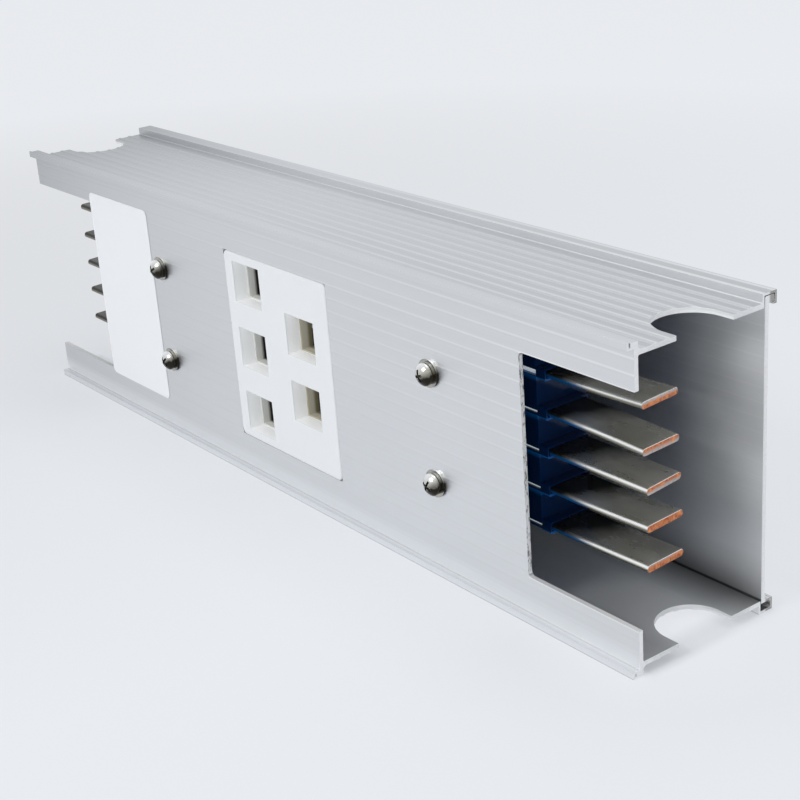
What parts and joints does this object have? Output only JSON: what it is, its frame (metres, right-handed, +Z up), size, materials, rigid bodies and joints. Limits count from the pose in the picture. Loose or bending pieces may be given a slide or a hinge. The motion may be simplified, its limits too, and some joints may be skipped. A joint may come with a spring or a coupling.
{
  "type": "busway section",
  "caption": "Plug-in busway section: an open-ended aluminium channel carrying flat busbars on moulded supports, with a moulded plug outlet in its front face.",
  "frame": {"origin": "centre of the bounding box on plan, on the plane that the section stands on", "axes": "+X runs along the section towards the near end, -Y faces out of the front with the plug outlet, +Z is up"},
  "size_m": [0.4556, 0.0777, 0.13],
  "materials": {
    "aluminium_channel": "satin mill finish with fine extrusion lines",
    "aluminium_cover": "satin mill finish",
    "blue_support": "glossy dark blue moulding",
    "tinned_bar": "dull tin plating, bare copper colour on the cut ends",
    "white_outlet": "matt white moulding",
    "zinc_steel": "bright zinc plate",
    "label": "plain white sticker, bare"
  },
  "bodies": {
    "root": {"channel": "aluminium_channel", "rear_cover": "aluminium_cover", "support_near": "blue_support", "support_far": "blue_support", "busbar_1": "tinned_bar", "busbar_2": "tinned_bar", "busbar_3": "tinned_bar", "busbar_4": "tinned_bar", "busbar_5": "tinned_bar", "plug_outlet": "white_outlet", "label": "label", "screw_1": "zinc_steel", "screw_2": "zinc_steel", "screw_3": "zinc_steel", "screw_4": "zinc_steel", "spring_washer_1": "zinc_steel", "spring_washer_2": "zinc_steel", "spring_washer_3": "zinc_steel", "spring_washer_4": "zinc_steel", "flat_washer_1": "zinc_steel", "flat_washer_2": "zinc_steel", "flat_washer_3": "zinc_steel", "flat_washer_4": "zinc_steel"}
  },
  "joints": []
}
